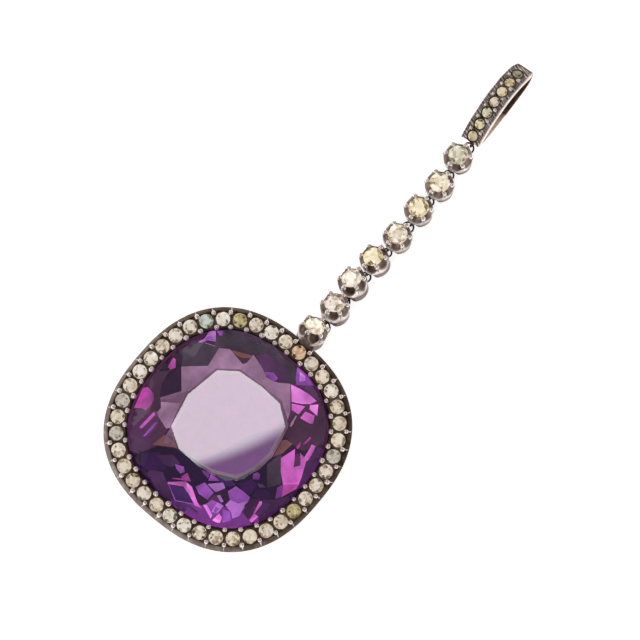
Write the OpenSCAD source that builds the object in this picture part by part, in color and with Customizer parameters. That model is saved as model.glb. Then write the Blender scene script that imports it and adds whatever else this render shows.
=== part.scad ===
// Amethyst pendant: a cushion cluster, a row of eight collets and a long bail, lying face up.
// The base is at z = 0, the chain runs along +Y, and the origin is under the middle of the whole.

/* [Cluster] */
// Width of the halo across its flat sides
halo_w = 27; // [26.6:0.1:28]
// Height of the halo plate's upper face over the surface it lies on
halo_top = 8.4; // [8:0.1:9]
// Thickness of the halo plate
plate_t = 1.7; // [1.5:0.1:2]
// Width of the row of small stones across the flat sides
row_w = 24.2; // [24.1:0.05:24.3]
// Number of small stones in the halo
halo_count = 40; // [38:2:40]
// Diameter of a small stone in the halo
halo_stone_d = 1.68; // [1.4:0.02:1.7]
// Diameter of a grain of silver beside the halo stones
grain_d = 0.5; // [0.3:0.05:0.55]
// Outer width of the base ring across its flat sides
base_w = 20; // [19:0.5:21]
// Thickness of the gallery wall
wall_t = 0.8; // [0.7:0.05:1]

/* [Amethyst] */
// Width of the large stone across its flat sides
gem_w = 21.5; // [21:0.1:21.6]
// Height of its crown over the girdle
crown_h = 3.2; // [2.6:0.1:3.6]
// Depth of its pavilion under the girdle
pavilion_h = 7.2; // [6.5:0.1:7.4]

/* [Collets] */
// Height of a collet
collet_h = 3.15; // [3:0.05:3.3]
// Radius of a collet at its shoulder
collet_r = 1.76; // [1.7:0.01:1.78]
// Radius of a collet near its foot
collet_base_r = 1.65; // [1.6:0.01:1.7]
// How far its foot is rounded off
foot_round = 0.4; // [0.35:0.05:0.45]
// Diameter of the stone in a collet
collet_stone_d = 2.36; // [2.3:0.02:2.4]
// Number of claws on a collet
claw_count = 6; // [6:1:8]

/* [Links] */
// Thickness of the wire of the links and the eyes
wire_d = 0.22; // [0.2:0.01:0.24]
// Radius of an eye, to the middle of its wire
eye_r = 0.34; // [0.3:0.01:0.36]

/* [Bail] */
// Length of the bail
bail_l = 11.52; // [11:0.01:12]
// Depth of the bail, back to front
bail_depth = 3.47; // [3.2:0.01:3.6]
// Width of the silver strip at the front
strip_w = 2.6; // [2.4:0.05:2.8]
// Thickness of the silver strip
strip_t = 0.55; // [0.5:0.05:0.6]
// Thickness of the gold band
band_t = 0.45; // [0.4:0.05:0.5]
// Diameter of a stone in the bail
bail_stone_d = 1.22; // [1:0.02:1.3]

/* [Hidden] */
$fn = 48;

// Clearance between a stone and its metal, or between two pieces that lie on each other
gap = 0.04;

// The bail lies on one edge of its band. Where its lower end is from the cluster's middle, its turn from +Y,
// and how far it leans to the left
bail_place = [-0.72, 45.41, 0];
bail_turn = 2.9;
bail_lean = 10.6;
band_w = strip_w - 0.1;
// How far the bail's sides draw in at its top
draw_in = 0.2;
// Height at which the bail's front and back meet, at both of its ends
bail_end_z = 1.3;
// How far the middle of the cluster lies from the middle of the whole, along the chain
tip_across = (band_w / 2 - draw_in) * cos(bail_lean) - bail_end_z * sin(bail_lean);
whole_reach = bail_place[1] + bail_l * cos(bail_turn) + tip_across * sin(bail_turn);
cluster_y = -(whole_reach - halo_w / 2) / 2;

// Cushion outline: a squared circle that the stones follow, and the five arcs that the metal is cut from
cushion_power = 2.44;
side_arc_offset = 8.55;
corner_extra = 0.85;

silver = "#8d8780";
rose_gold = "#c98f72";
gem_colour = "#6b2c91";
stone_colour = "#e6dfc4";

// A point of the cushion outline with half width a, at the angle t
function cushion_point(a, t) =
    let (r = a / pow(pow(abs(cos(t)), cushion_power) + pow(abs(sin(t)), cushion_power), 1 / cushion_power))
    [r * cos(t), r * sin(t)];

// The angle of the outline's outward normal there
function cushion_normal(t) =
    let (p = cushion_power - 1)
    atan2(sign(sin(t)) * pow(abs(sin(t)), p), sign(cos(t)) * pow(abs(cos(t)), p));

// Points spaced evenly along the outline
function running_length(pts) =
    let (n = len(pts))
    [for (i = 0, s = 0; i <= n; s = s + norm(pts[(i + 1) % n] - pts[i % n]), i = i + 1) s];

function evenly_spaced(a, count, phase) =
    let (pts = [for (t = [0:359]) cushion_point(a, t)], run = running_length(pts), total = run[360])
    [for (k = [0:count - 1])
        let (s = total * ((k + phase) % count) / count)
        let (i = [for (j = [0:359]) if (run[j] <= s && s < run[j + 1]) j][0])
        pts[i] + (pts[(i + 1) % 360] - pts[i]) * (s - run[i]) / (run[i + 1] - run[i])];

// The point at height z where two facets meet. A facet is [normal angle, reach at z1, reach at z2].
function facet_meet(f, g, z, z1, z2) =
    let (u = (z - z1) / (z2 - z1), a = f[1] + (f[2] - f[1]) * u, b = g[1] + (g[2] - g[1]) * u)
    let (d = sin(g[0] - f[0]))
    [(a * sin(g[0]) - b * sin(f[0])) / d, (b * cos(f[0]) - a * cos(g[0])) / d, z];

// A cut stone from its corner directions. Columns: [angle, girdle reach, normal angle, table reach].
// Star facets meet the mains at star_z, and the lower halves meet them at low_z.
function cut_stone(corners, outline, girdle, top, star_z, low_z, bottom, culet) =
    let (n = len(corners))
    let (crown = [for (c = corners) [c[2], c[1] * cos(c[2] - c[0]), c[3] * cos(c[2] - c[0])]])
    let (pavilion = [for (c = corners) [c[2], c[1] * cos(c[2] - c[0]), culet]])
    [
        [for (c = corners) [c[3] * cos(c[0]), c[3] * sin(c[0]), top]],
        [for (i = [0:n - 1]) facet_meet(crown[i], crown[(i + 1) % n], star_z, girdle / 2, top)],
        [for (p = outline) [p[0], p[1], girdle / 2]],
        [for (p = outline) [p[0], p[1], -girdle / 2]],
        [for (i = [0:n - 1]) facet_meet(pavilion[i], pavilion[(i + 1) % n], low_z, -girdle / 2, bottom)],
        [for (i = [0:n - 1]) facet_meet(pavilion[i], pavilion[(i + 1) % n], bottom, -girdle / 2, bottom)]
    ];

// Its faces: rings of n table corners, n star points, 2n and 2n girdle points, n low points, n culet corners
function stone_faces(n) =
    let (s = n, g = 2 * n, h = 4 * n, l = 6 * n, c = 7 * n)
    concat(
        [[for (i = [n - 1:-1:0]) i]],
        [for (i = [0:n - 1]) [i, (i + 1) % n, s + i]],
        [for (i = [0:n - 1]) [i, s + i, g + 2 * i, s + (i + n - 1) % n]],
        [for (i = [0:n - 1]) [s + i, g + 2 * i + 1, g + 2 * i]],
        [for (i = [0:n - 1]) [s + i, g + (2 * i + 2) % (2 * n), g + 2 * i + 1]],
        [for (j = [0:2 * n - 1]) [g + j, g + (j + 1) % (2 * n), h + (j + 1) % (2 * n), h + j]],
        [for (i = [0:n - 1]) [l + i, h + 2 * i, h + 2 * i + 1]],
        [for (i = [0:n - 1]) [l + i, h + 2 * i + 1, h + (2 * i + 2) % (2 * n)]],
        [for (i = [0:n - 1]) let (b = (i + n - 1) % n) [h + 2 * i, l + i, c + i, c + b, l + b]],
        [[for (i = [0:n - 1]) c + i]]
    );

module stone_solid(rings, n) {
    polyhedron(points = [for (ring = rings) for (p = ring) p], faces = stone_faces(n), convexity = 2);
}

// A small round old-cut stone, its girdle at z = 0 and its pavilion deep times its width
module round_stone(d, deep = 0.4) {
    n = 8;
    r = d / 2;
    corners = [for (i = [0:n - 1]) [i * 360 / n, r, i * 360 / n, r * 0.54]];
    outline = [for (j = [0:2 * n - 1]) [r * cos(j * 180 / n), r * sin(j * 180 / n)]];
    rings = cut_stone(corners, outline, d * 0.03, d * 0.17, d * 0.085, -d * deep * 0.68, -d * deep, r * 0.08);
    color(stone_colour) stone_solid(rings, n);
}

// Corners of the amethyst's table. Columns: [angle, reach of the table there]
table_corners = [
    [4, 6.1], [37, 6.6], [62, 6.4], [87, 5.85], [118, 6.3], [141, 6.4],
    [183, 5.75], [222, 6.5], [247, 6.3], [275, 5.95], [308, 6.6], [326, 6.65]
];
// Height of its girdle over the surface, and the star and lower facets' meeting heights from the girdle
girdle_z = 7.95;
star_z = 1.75;
low_z = -3.6;

module amethyst() {
    n = len(table_corners);
    a = gem_w / 2;
    corners = [for (c = table_corners)
        [c[0], norm(cushion_point(a, c[0])), cushion_normal(c[0]), c[1]]];
    turns = [for (i = [0:n - 1]) (table_corners[(i + 1) % n][0] - table_corners[i][0] + 360) % 360];
    outline = [for (i = [0:n - 1]) each [
        cushion_point(a, table_corners[i][0]),
        cushion_point(a, table_corners[i][0] + turns[i] / 2)]];
    rings = cut_stone(corners, outline, 0.3, crown_h, star_z, low_z, -pavilion_h, 0.5);
    color(gem_colour)
        translate([0, cluster_y, girdle_z]) stone_solid(rings, n);
}

// A cushion block that tapers from half width a0 at the bottom to a1 at the top
module cushion_block(a0, a1, h) {
    intersection() {
        cylinder(h = h, r1 = a0 + corner_extra, r2 = a1 + corner_extra);
        side_arc(0, a0, a1, h);
        side_arc(90, a0, a1, h);
        side_arc(180, a0, a1, h);
        side_arc(270, a0, a1, h);
    }
}

module side_arc(turn, a0, a1, h) {
    rotate([0, 0, turn]) translate([-side_arc_offset, 0, 0])
        cylinder(h = h, r1 = a0 + side_arc_offset, r2 = a1 + side_arc_offset);
}

// The seat of a small stone: a recess for its girdle and a hole right through
module stone_seat(d, through) {
    rotate_extrude() polygon([
        [0, d], [d / 2 + gap, d], [d / 2 + gap, -d * 0.03 - gap], [d * 0.32, -d * 0.22 - gap],
        [d * 0.32, -through], [0, -through]
    ]);
}

halo_row = evenly_spaced(row_w / 2, halo_count, 0.72);
halo_outer_grains = evenly_spaced(row_w / 2 + 0.72, halo_count, 1.22);
halo_inner_grains = evenly_spaced(row_w / 2 - 0.86, halo_count, 1.22);
halo_stone_z = halo_top - 0.12;
bevel = 0.45;

// The ring of wire that an eye or a link is made from, standing in the YZ plane
module wire_ring(r) {
    rotate([0, 90, 0]) rotate_extrude() translate([r, 0]) circle(d = wire_d, $fn = 24);
}

// How far an eye stands to one side of the chain's middle
eye_side = 0.17;
// The eye on the gallery wall, on a short post, from the cluster's middle
mount_eye = [0, 12.3, 4.3];
post_d = 0.5;

module cluster_mount() {
    outer = halo_w / 2;
    under = halo_top - plate_t;
    hole = gem_w / 2 + 0.07;
    ledge = hole - 0.75;
    base = base_w / 2;
    neck = outer - 2.2;
    color(silver) translate([0, cluster_y, 0]) {
        difference() {
            union() {
                cushion_block(base, neck, under + 0.1);
                translate([0, 0, under]) cushion_block(outer - 0.9, outer, plate_t - bevel);
                translate([0, 0, halo_top - bevel]) cushion_block(outer, outer - 0.5, bevel);
                translate(eye_before(0)) wire_ring(eye_r);
                translate([eye_before(0)[0], base, mount_eye[2]]) rotate([-90, 0, 0])
                    cylinder(d = post_d, h = mount_eye[1] - eye_r - base);
            }
            translate([0, 0, -0.1]) cushion_block(base - wall_t, neck - wall_t, under + 0.1);
            translate([0, 0, under - 0.2]) cushion_block(ledge, ledge, plate_t);
            translate([0, 0, girdle_z - 0.95]) cushion_block(ledge, hole + 0.02, 0.77);
            translate([0, 0, girdle_z - 0.2]) cushion_block(hole, hole, 1);
            for (p = halo_row) translate([p[0], p[1], halo_stone_z]) stone_seat(halo_stone_d, plate_t + 0.3);
        }
        for (p = concat(halo_outer_grains, halo_inner_grains))
            translate([p[0], p[1], halo_top]) sphere(d = grain_d);
    }
}

module halo_diamonds() {
    for (k = [0:halo_count - 1])
        translate([halo_row[k][0], halo_row[k][1] + cluster_y, halo_stone_z])
            rotate([0, 0, k * 37]) round_stone(halo_stone_d);
}

// Where each collet's base lies from the cluster's middle, how far its face leans along the chain, and how
// far it leans to the left. Columns: [across, along, height, lean along, lean left]
collet_places = [
    [-0.05, 14.8, 2.6, 28, 6],
    [0.25, 19.3, 1.3, 13, 14],
    [0.05, 23.2, 0.6, 8, 20],
    [0.1, 27.2, 0.35, 1, 16],
    [0.05, 31, 0.13, 3, 5],
    [-0.1, 35.1, 0.13, 3, 5],
    [-0.1, 39, 0.13, 3, 5],
    [-0.55, 43, 0.13, 3, 5]
];
collet_count = len(collet_places);
eye_z = 0.46;
eye_reach = 1.42;
// Flat cut into the foot of a collet for an eye: how far it is from the middle, its width, height and depth
cut_floor = 1.2;
cut_w = 2.3;
cut_h = 1.2;
cut_depth = 1;
collet_girdle_z = collet_h - 0.17;

// A link's two eyes stand side by side. This is the side, 1 right or -1 left, of the eye nearer the cluster.
link_sides = [1, 1, -1, 1, 1, -1, 1, -1, -1];
function link_side(k) = link_sides[k];

function roll_by(p, a) = [p[0] * cos(a) - p[2] * sin(a), p[1], p[0] * sin(a) + p[2] * cos(a)];
function pitch_by(p, a) = [p[0], p[1] * cos(a) + p[2] * sin(a), p[2] * cos(a) - p[1] * sin(a)];
function on_collet(i, p) =
    let (c = collet_places[i])
    [c[0], c[1], c[2]] + pitch_by(roll_by(p, c[4]), c[3]);

module place_collet(i) {
    c = collet_places[i];
    translate([c[0], c[1] + cluster_y, c[2]]) rotate([-c[3], 0, 0]) rotate([0, -c[4], 0]) children();
}

module collet(i) {
    shoulder_z = collet_h - 0.5;
    claw_r = 0.2;
    color(silver) place_collet(i) {
        difference() {
            rotate_extrude() polygon([
                [0.75, 0], [collet_base_r - foot_round, 0], [collet_base_r, foot_round],
                [collet_r, shoulder_z], [1.42, collet_h], [collet_stone_d / 2 + gap, collet_h],
                [collet_stone_d / 2 + gap, collet_girdle_z - 0.09], [0.75, collet_girdle_z - 0.5]
            ]);
            for (side = [-1, 1])
                translate([0, side * (cut_floor + cut_depth / 2), 0])
                    cube([cut_w, cut_depth, 2 * cut_h], center = true);
        }
        for (k = [0:claw_count - 1]) rotate([0, 0, (k + 0.5) * 360 / claw_count]) claw(shoulder_z, claw_r);
        translate([link_side(i + 1) * eye_side, eye_reach, eye_z]) wire_ring(eye_r);
        translate([-link_side(i) * eye_side, -eye_reach, eye_z]) wire_ring(eye_r);
    }
}

// One claw: a tapering wire that leans over the shoulder and ends in a round tip
module claw(shoulder_z, r) {
    reach = collet_r - 1.34;
    rise = collet_h + 0.04 - (shoulder_z - 0.35);
    translate([collet_r - 0.12, 0, shoulder_z - 0.35]) rotate([0, -atan2(reach - 0.12, rise), 0]) {
        cylinder(h = rise, r1 = r * 0.7, r2 = r * 0.9);
        translate([0, 0, rise]) sphere(r = r);
    }
}

module collet_diamond(i) {
    place_collet(i) translate([0, 0, collet_girdle_z]) rotate([0, 0, i * 29]) round_stone(collet_stone_d);
}

// An arch over the bail's length, 0 at both ends and 1 at its highest, which lies nearer the upper end
function arch(y) = let (v = pow(y / bail_l, 1.2)) max(0, 4 * v * (1 - v));
// The bail's front and back at the distance y from its lower end: a high arch and a nearly flat one
function front_z(y) = bail_end_z + (bail_depth - bail_end_z) * pow(arch(y), 0.7);
function back_z(y) = bail_end_z * (1 - pow(arch(y), 0.3));

// Distances along the bail from a to b, closer together at its ends
function along(a, b, count) = [for (k = [0:count]) a + (b - a) * (1 - cos(180 * k / count)) / 2];
function backwards(list) = [for (i = [len(list) - 1:-1:0]) list[i]];

strip_start = 0.15;
strip_end = bail_l - 0.3;
band_under_strip = strip_t + gap;
// Where the band's two sides are far enough apart for the opening between them
loop_start = 1.05;
loop_end = bail_l - 0.45;
// Half the height of the opening where it is lowest, and how far its middle lies under the bail's own
opening_half = 0.06;
opening_drop = 0.3;

module across(w) {
    rotate([90, 0, 90]) translate([0, 0, -w / 2]) linear_extrude(height = w) children();
}

// The lower edge of the band lies on the surface
bail_lift = band_w / 2 * sin(bail_lean);

module place_bail() {
    translate([bail_place[0], bail_place[1] + cluster_y, bail_place[2] + bail_lift])
        rotate([0, 0, bail_turn]) rotate([0, -bail_lean, 0]) children();
}

// Outline of the bail seen from the front: straight sides that draw in to a round top
module front_outline(w) {
    half = w / 2;
    side = [for (u = [0:0.1:1]) [half - draw_in * u * u, bail_l * (0.84 + 0.16 * u)]];
    translate([0, 0, -1]) linear_extrude(height = bail_depth + 2) polygon(concat(
        [[half, -1]], side, [for (p = backwards(side)) [-p[0], p[1]]], [[-half, -1]]
    ));
}

bail_stone_spots = [for (k = [0:6]) 0.83 + 1.525 * k];
bail_stone_across = 0;
bail_stone_sink = 0.1;

// At the distance y along the strip's outer face, x across it and up by rise from it
module place_on_strip(y, x, rise) {
    lean = atan2(front_z(y + 0.05) - front_z(y - 0.05), 0.1);
    translate([x, y, front_z(y)]) rotate([lean, 0, 0]) translate([0, 0, rise]) children();
}

module bail_front() {
    ys = along(strip_start, strip_end, 28);
    color(silver) place_bail() {
        difference() {
            intersection() {
                across(strip_w + 1) polygon(concat(
                    [for (y = ys) [y, front_z(y)]], [for (y = backwards(ys)) [y, front_z(y) - strip_t]]
                ));
                front_outline(strip_w);
            }
            for (y = bail_stone_spots)
                place_on_strip(y, bail_stone_across, -bail_stone_sink)
                    stone_seat(bail_stone_d, strip_t + 0.3);
        }
        for (k = [0:5], side = [-1, 1]) {
            between = (bail_stone_spots[k] + bail_stone_spots[k + 1]) / 2;
            place_on_strip(between, bail_stone_across + side * 0.62, 0) sphere(d = grain_d * 0.8);
        }
    }
}

bail_eye = [0, 0.3, 0.42];

module bail_loop() {
    under = along(0.5, strip_end + gap, 28);
    tip = along(strip_end + gap, bail_l, 8);
    back = along(0.5, bail_l, 36);
    inner = along(loop_start, loop_end, 32);
    function middle(y) = (front_z(y) + back_z(y)) / 2 - opening_drop;
    inner_top = [for (y = inner) max(front_z(y) - band_under_strip - band_t, middle(y) + opening_half)];
    inner_low = [for (y = inner) min(back_z(y) + band_t, middle(y) - opening_half)];
    color(rose_gold) place_bail() {
        intersection() {
            across(strip_w + 1) difference() {
                polygon(concat(
                    [for (y = under) [y, front_z(y) - band_under_strip]],
                    [for (y = tip) [y, front_z(y)]],
                    [for (i = [len(back) - 2:-1:0]) [back[i], back_z(back[i])]]
                ));
                polygon(concat(
                    [for (i = [0:len(inner) - 1]) [inner[i], inner_top[i]]],
                    [for (i = [len(inner) - 1:-1:0]) [inner[i], inner_low[i]]]
                ));
            }
            front_outline(band_w);
        }
        translate(bail_eye + [-link_side(collet_count) * eye_side, 0, 0]) wire_ring(eye_r);
    }
}

module bail_diamond(k) {
    place_bail() place_on_strip(bail_stone_spots[k], bail_stone_across, -bail_stone_sink)
        rotate([0, 0, k * 31]) round_stone(bail_stone_d, 0.32);
}

// The middles of the two eyes that a link joins, measured from the cluster's middle
function turned(p, a) = [p[0] * cos(a) - p[1] * sin(a), p[0] * sin(a) + p[1] * cos(a), p[2]];
function on_bail(p) = bail_place + [0, 0, bail_lift] + turned(roll_by(p, bail_lean), bail_turn);
function eye_before(k) = k == 0 ?
    mount_eye + [link_side(k) * eye_side, 0, 0] :
    on_collet(k - 1, [link_side(k) * eye_side, eye_reach, eye_z]);
function eye_after(k) = k == collet_count ?
    on_bail(bail_eye + [-link_side(k) * eye_side, 0, 0]) :
    on_collet(k, [-link_side(k) * eye_side, -eye_reach, eye_z]);

module link(k) {
    a = eye_before(k);
    b = eye_after(k);
    v = b - a;
    m = (a + b) / 2;
    color(silver) translate([m[0], m[1] + cluster_y, m[2]])
        rotate([0, 0, -atan2(v[0], v[1])]) rotate([atan2(v[2], norm([v[0], v[1]])), 0, 0]) rotate([0, 90, 0])
            wire_ring(norm(v) / 2);
}

amethyst();
cluster_mount();
halo_diamonds();
bail_front();
bail_loop();
for (i = [0:collet_count - 1]) collet(i);
for (i = [0:collet_count - 1]) collet_diamond(i);
for (k = [0:collet_count]) link(k);
for (k = [0:6]) bail_diamond(k);
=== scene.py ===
import math
import bmesh
import bpy
import numpy as np
from mathutils import Matrix, Vector


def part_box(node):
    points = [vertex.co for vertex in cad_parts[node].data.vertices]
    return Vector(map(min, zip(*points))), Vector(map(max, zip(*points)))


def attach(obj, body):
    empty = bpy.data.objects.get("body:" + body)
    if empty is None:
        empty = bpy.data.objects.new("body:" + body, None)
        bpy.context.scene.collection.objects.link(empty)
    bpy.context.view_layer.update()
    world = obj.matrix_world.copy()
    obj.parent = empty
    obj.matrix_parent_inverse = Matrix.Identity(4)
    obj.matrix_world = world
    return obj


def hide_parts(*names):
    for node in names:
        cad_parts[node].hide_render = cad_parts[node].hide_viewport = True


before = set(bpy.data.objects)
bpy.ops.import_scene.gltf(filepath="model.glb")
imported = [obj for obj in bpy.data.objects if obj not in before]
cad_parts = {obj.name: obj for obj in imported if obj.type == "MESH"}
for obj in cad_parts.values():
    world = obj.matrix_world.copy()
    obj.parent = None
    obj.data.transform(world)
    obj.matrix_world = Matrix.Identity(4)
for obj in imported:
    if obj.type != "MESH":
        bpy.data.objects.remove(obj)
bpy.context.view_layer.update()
scene = bpy.context.scene
scene.view_settings.view_transform = "Standard"
mm = 0.001
print("frame loaded:", len(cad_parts), "nodes")

# The cluster's middle. Every length below is in millimetres, and a mesh gets them in metres when it is
# made.
low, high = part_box("amethyst")
clusterMiddle = np.array([0, (low.y + high.y) / 2 / mm, 0])


def linear(hexColour):
    # sRGB hex to the linear colour that the shaders work in
    parts = [int(hexColour[i:i + 2], 16) / 255 for i in (1, 3, 5)]
    return [c / 12.92 if c <= 0.04045 else ((c + 0.055) / 1.055) ** 2.4 for c in parts] + [1.0]


def unit(vectors):
    # one vector or many, brought to length 1
    return vectors / np.linalg.norm(vectors, axis=-1, keepdims=True)


def addNode(tree, kind, links=None, values=None, **settings):
    # a node with its properties, its socket values by name or number, and the sockets that feed it
    node = tree.nodes.new("ShaderNode" + kind)
    for key, value in settings.items():
        setattr(node, key, value)
    for socket, value in (values or {}).items():
        node.inputs[socket].default_value = value
    for socket, source in (links or {}).items():
        tree.links.new(source, node.inputs[socket])
    return node


def mapRange(tree, value, source=(0, 1), target=(0, 1), kind="LINEAR"):
    values = {"From Min": source[0], "From Max": source[1], "To Min": target[0], "To Max": target[1]}
    return addNode(tree, "MapRange", {"Value": value}, values, interpolation_type=kind).outputs["Result"]


def ramp(tree, source, stops):
    node = addNode(tree, "ValToRGB", {"Fac": source})
    while len(node.color_ramp.elements) < len(stops):
        node.color_ramp.elements.new(0.5)
    for element, (place, colour) in zip(node.color_ramp.elements, stops):
        element.position, element.color = place, linear(colour)
    return node.outputs["Color"]


def newMaterial(name, **sockets):
    # a Principled material with constant values on its sockets, written with _ for a space
    material = bpy.data.materials.new(name)
    material.use_nodes = True
    shader = material.node_tree.nodes["Principled BSDF"]
    for socket, value in sockets.items():
        shader.inputs[socket.replace("_", " ")].default_value = value
    return material, material.node_tree, shader


# Camera at the photograph's angle: 80 degrees up, from 40 degrees round. right and up say how far the
# picture's middle lies from the cluster's middle.
photoCamera = dict(azimuth=40, elevation=80, distance=550, lens=268.5, right=10.61, up=12.47, aimHeight=8.4)


def cameraAxes(azimuth, elevation):
    a, e = math.radians(azimuth), math.radians(elevation)
    back = np.array([math.sin(a) * math.cos(e), -math.cos(a) * math.cos(e), math.sin(e)])
    right = np.array([math.cos(a), math.sin(a), 0])
    return right, np.cross(back, right), back


photoRight, photoUp, photoBack = cameraAxes(photoCamera["azimuth"], photoCamera["elevation"])
crownMiddle = clusterMiddle + [0, 0, photoCamera["aimHeight"]]
cameraPlace = crownMiddle + photoBack * photoCamera["distance"]


def makeCamera(s):
    # it stands over the cluster's middle, and looks at a point beside it
    back = unit(cameraPlace - (crownMiddle + photoRight * s["right"] + photoUp * s["up"]))
    right = unit(photoRight - back * (photoRight @ back))
    axes = Matrix((right, np.cross(back, right), back)).transposed().to_4x4()
    camera = bpy.data.objects.new("camera", bpy.data.cameras.new("camera"))
    scene.collection.objects.link(camera)
    camera.matrix_world = Matrix.Translation(Vector(cameraPlace * mm)) @ axes
    camera.data.lens = s["lens"]
    camera.data.sensor_width = 36
    camera.data.clip_start, camera.data.clip_end = 0.05, 20
    scene.camera = camera


makeCamera(photoCamera)

# The studio: white all round and low down, with a dark ceiling that the stones mirror, and soft cards in it
studio = dict(walls=1.0, ceiling=0.3, wallTop=4, ceilingFoot=15, windowSide=262, windowRise=0.22,
              floorGlow=0.75)
# Columns: azimuth, elevation, radius in degrees, soft edge in degrees, strength, tint
softCards = [
    (150, 24, 10, 6, 1.6, "#ffffff"),
    (85, 24, 9, 6, 1.6, "#ffffff"),
    (-67, 12, 10, 6, 1.6, "#f0e8ff"),
    (262, 66, 12, 8, 3.6, "#fff4ee"),
]
# The softbox that the amethyst's table mirrors: the place in the picture where its edge crosses the table,
# in pixels from the cluster's middle, the size of a pixel there, and the azimuth that the edge faces
tableSoftbox = dict(pixelsRight=22, pixelsDown=26, pixelSize=0.1152, edgeAzimuth=-27, radius=4, softEdge=0.2,
                    strength=1.67, tint="#ffffff")


def direction(azimuth, elevation):
    a, e = math.radians(azimuth), math.radians(elevation)
    return np.array([math.cos(a) * math.cos(e), math.sin(a) * math.cos(e), math.sin(e)])


def softboxDirection(s):
    # A level mirror turns the line of sight's x and y round, and the box's middle lies one radius from its
    # edge
    spot = (photoRight * s["pixelsRight"] - photoUp * s["pixelsDown"]) * s["pixelSize"]
    mirrored = unit((photoBack * photoCamera["distance"] - spot) * [-1, -1, 1])
    away = direction(s["edgeAzimuth"] + 180, 0)
    away = unit(away - mirrored * (away @ mirrored))
    r = math.radians(s["radius"])
    return mirrored * math.cos(r) + away * math.sin(r)


def makeStudio(s, cards):
    world = bpy.data.worlds.new("studio")
    scene.world = world
    world.use_nodes = True
    tree = world.node_tree
    sight = addNode(tree, "TexCoord").outputs["Generated"]
    upward = direction(s["windowSide"], 0) * -s["windowRise"] + [0, 0, 1]  # the wall is higher at the window
    height = addNode(tree, "VectorMath", {0: sight}, {1: upward}, operation="DOT_PRODUCT").outputs["Value"]
    edges = [math.sin(math.radians(s[key])) for key in ("wallTop", "ceilingFoot")]
    level = mapRange(tree, height, edges, (s["walls"], s["ceiling"]), "SMOOTHSTEP")
    total = addNode(tree, "CombineXYZ", {"X": level, "Y": level, "Z": level}).outputs[0]
    for where, radius, softEdge, strength, tint in cards:
        facing = addNode(tree, "VectorMath", {0: sight}, {1: where}, operation="DOT_PRODUCT").outputs["Value"]
        edges = [math.cos(math.radians(angle)) for angle in (radius, radius - softEdge)]
        inside = mapRange(tree, facing, edges, kind="SMOOTHSTEP")
        glow = [strength * c for c in linear(tint)[:3]]
        total = addNode(tree, "VectorMath", {0: inside, 2: total}, {1: glow},
                        operation="MULTIPLY_ADD").outputs[0]
    tree.links.new(total, tree.nodes["Background"].inputs["Color"])
    tree.nodes["Background"].inputs["Strength"].default_value = 1


def makeFloor(halfWidth, glow):
    # white paper, lit a little from below
    mesh = bpy.data.meshes.new("floor")
    corners = [(x * halfWidth, y * halfWidth, 0) for x, y in ((-1, -1), (1, -1), (1, 1), (-1, 1))]
    mesh.from_pydata(corners, [], [(0, 1, 2, 3)])
    floor = bpy.data.objects.new("floor", mesh)
    scene.collection.objects.link(floor)
    white = linear("#ffffff")
    mesh.materials.append(newMaterial("whitePaper", Base_Color=white, Roughness=0.9, Emission_Color=white,
                                      Emission_Strength=glow)[0])


cards = [(direction(azimuth, elevation), *rest) for azimuth, elevation, *rest in softCards]
tableLook = [tableSoftbox[key] for key in ("radius", "softEdge", "strength", "tint")]
makeStudio(studio, cards + [(softboxDirection(tableSoftbox), *tableLook)])
makeFloor(3, studio["floorGlow"])
print("camera, studio and floor made")


def gridQuads(shape, wrapU, wrapV):
    # Corner numbers of the quads of many grids, shape (grids, u, v). A wrapped direction closes on itself.
    index = np.arange(np.prod(shape)).reshape(shape)
    nextU = np.roll(index, -1, 1)
    if not wrapU:
        index, nextU = index[:, :-1], nextU[:, :-1]
    around = np.stack([index, nextU, np.roll(nextU, -1, 2), np.roll(index, -1, 2)], -1)
    if not wrapV:
        around = around[:, :, :-1]
    return around.reshape(-1, 4)


def sheet(points, wearAndLight, wrapU=True, wrapV=True):
    # grids of points (grids, u, v, 3), how far they are worn, with painted light and shade in the same value
    # on some pieces, and whether u and v close on themselves
    return points, np.broadcast_to(wearAndLight, points.shape[:3]), gridQuads(points.shape[:3], wrapU, wrapV)


def setAttribute(mesh, name, kind, domain, values):
    data = mesh.attributes.new(name, kind, domain).data
    data.foreach_set("color" if kind == "FLOAT_COLOR" else "value", np.array(values, np.float32).reshape(-1))


def cleanMesh(mesh, merge, slivers):
    # merges doubles, drops slivers and turns the faces outwards
    work = bmesh.new()
    work.from_mesh(mesh)
    bmesh.ops.remove_doubles(work, verts=work.verts, dist=merge)
    if slivers:
        bmesh.ops.dissolve_degenerate(work, edges=work.edges, dist=slivers)
    bmesh.ops.recalc_face_normals(work, faces=work.faces)
    work.to_mesh(mesh)
    work.free()


def finishPiece(name, mesh, materials, replaces):
    for material in materials:
        mesh.materials.append(material)
    piece = bpy.data.objects.new(name, mesh)
    scene.collection.objects.link(piece)
    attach(piece, "root")
    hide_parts(*replaces)
    return piece


def makePiece(name, sheets, material, replaces):
    # puts sheets into one mesh, smooth but for edges over 35 degrees
    points, quads, wearAndLight, start = [], [], [], 0
    for p, wornAndLit, q in sheets:
        points.append(p.reshape(-1, 3) * mm)
        quads.append(q + start)
        wearAndLight.append(wornAndLit.reshape(-1))
        start += len(points[-1])
    mesh = bpy.data.meshes.new(name)
    mesh.from_pydata(np.concatenate(points), [], np.concatenate(quads).tolist())
    setAttribute(mesh, "wearAndLight", "FLOAT", "POINT", np.concatenate(wearAndLight))
    cleanMesh(mesh, 1e-7, 1e-8)
    mesh.shade_smooth()
    mesh.set_sharp_from_angle(angle=math.radians(35))
    return finishPiece(name, mesh, [material], replaces)


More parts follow.
